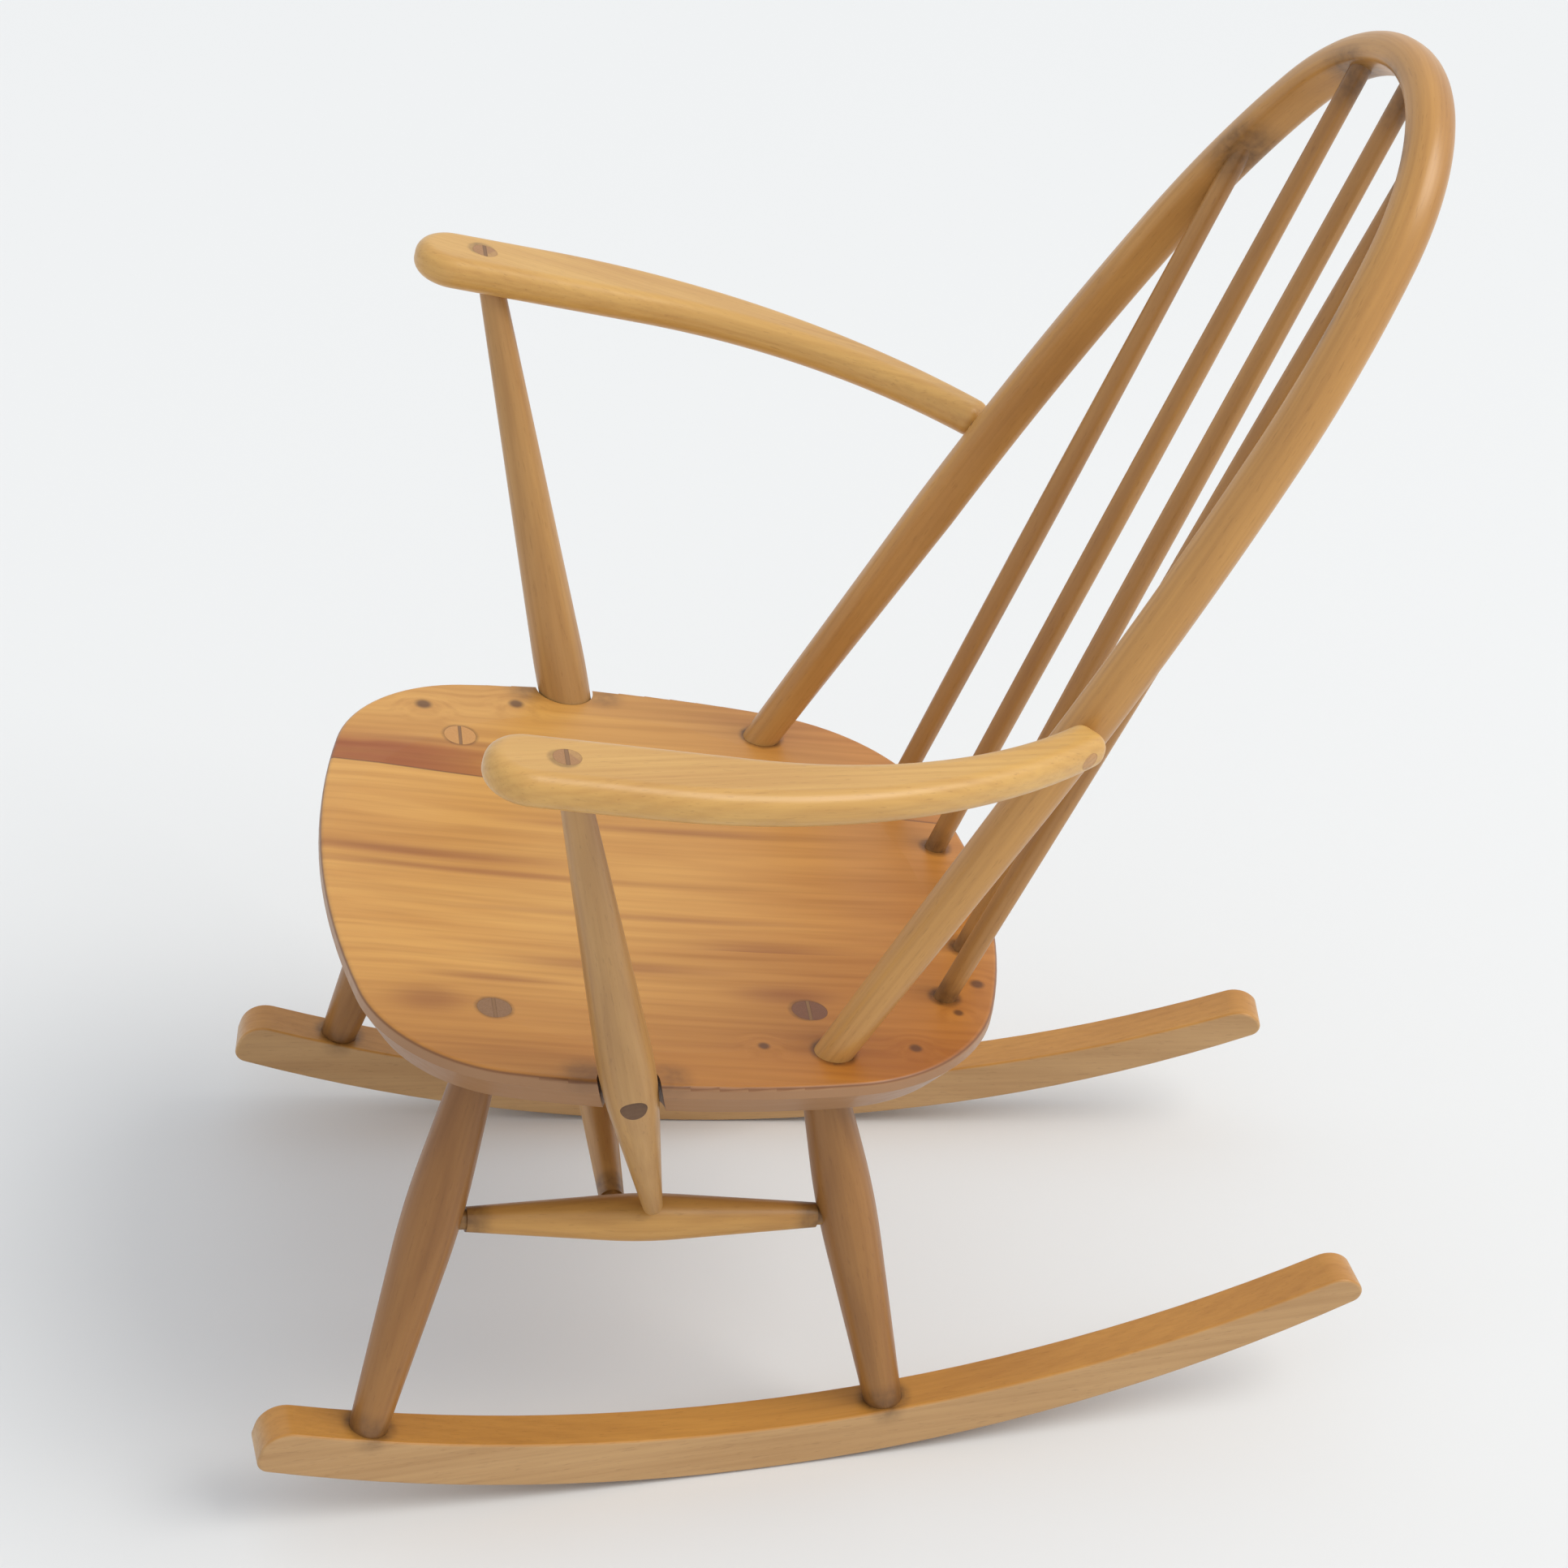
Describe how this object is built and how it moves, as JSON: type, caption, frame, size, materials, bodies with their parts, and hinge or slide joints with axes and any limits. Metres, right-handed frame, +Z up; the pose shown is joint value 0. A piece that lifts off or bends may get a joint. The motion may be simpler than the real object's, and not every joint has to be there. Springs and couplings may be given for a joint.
{
  "type": "rocking armchair",
  "caption": "Spindle-back rocking armchair with a carved board seat, a steam-bent hoop, turned legs and stretchers, curved rockers and bowed arms on turned posts.",
  "frame": {"origin": "on the floor, under the middle of the chair's bounding box", "axes": "+Z up, -Y the way the sitter faces, +X the sitter's left"},
  "size_m": [0.6646, 0.7125, 0.8632],
  "materials": {
    "elm_board": "satin lacquer",
    "bent_beech": "satin lacquer",
    "arm_beech": "satin lacquer",
    "turned_beech": "satin lacquer",
    "rocker_beech": "satin lacquer",
    "wedge_wood": "satin lacquer",
    "plug_wood": "satin lacquer",
    "screw_steel": "plain"
  },
  "bodies": {
    "root": {"seat": "elm_board", "hoop": "bent_beech", "middle_spindle": "turned_beech", "inner_spindle_left": "turned_beech", "inner_spindle_right": "turned_beech", "outer_spindle_left": "turned_beech", "outer_spindle_right": "turned_beech", "rocker_left": "rocker_beech", "rocker_right": "rocker_beech", "front_leg_left": "turned_beech", "front_leg_right": "turned_beech", "rear_leg_left": "turned_beech", "rear_leg_right": "turned_beech", "side_stretcher_left": "turned_beech", "side_stretcher_right": "turned_beech", "cross_stretcher": "turned_beech", "arm_left": "arm_beech", "arm_right": "arm_beech", "arm_post_left": "turned_beech", "arm_post_right": "turned_beech", "leg_wedges": "wedge_wood", "post_wedges": "wedge_wood", "post_plugs": "plug_wood", "arm_plugs": "plug_wood", "post_screws": "screw_steel", "arm_screws": "screw_steel"}
  },
  "joints": []
}
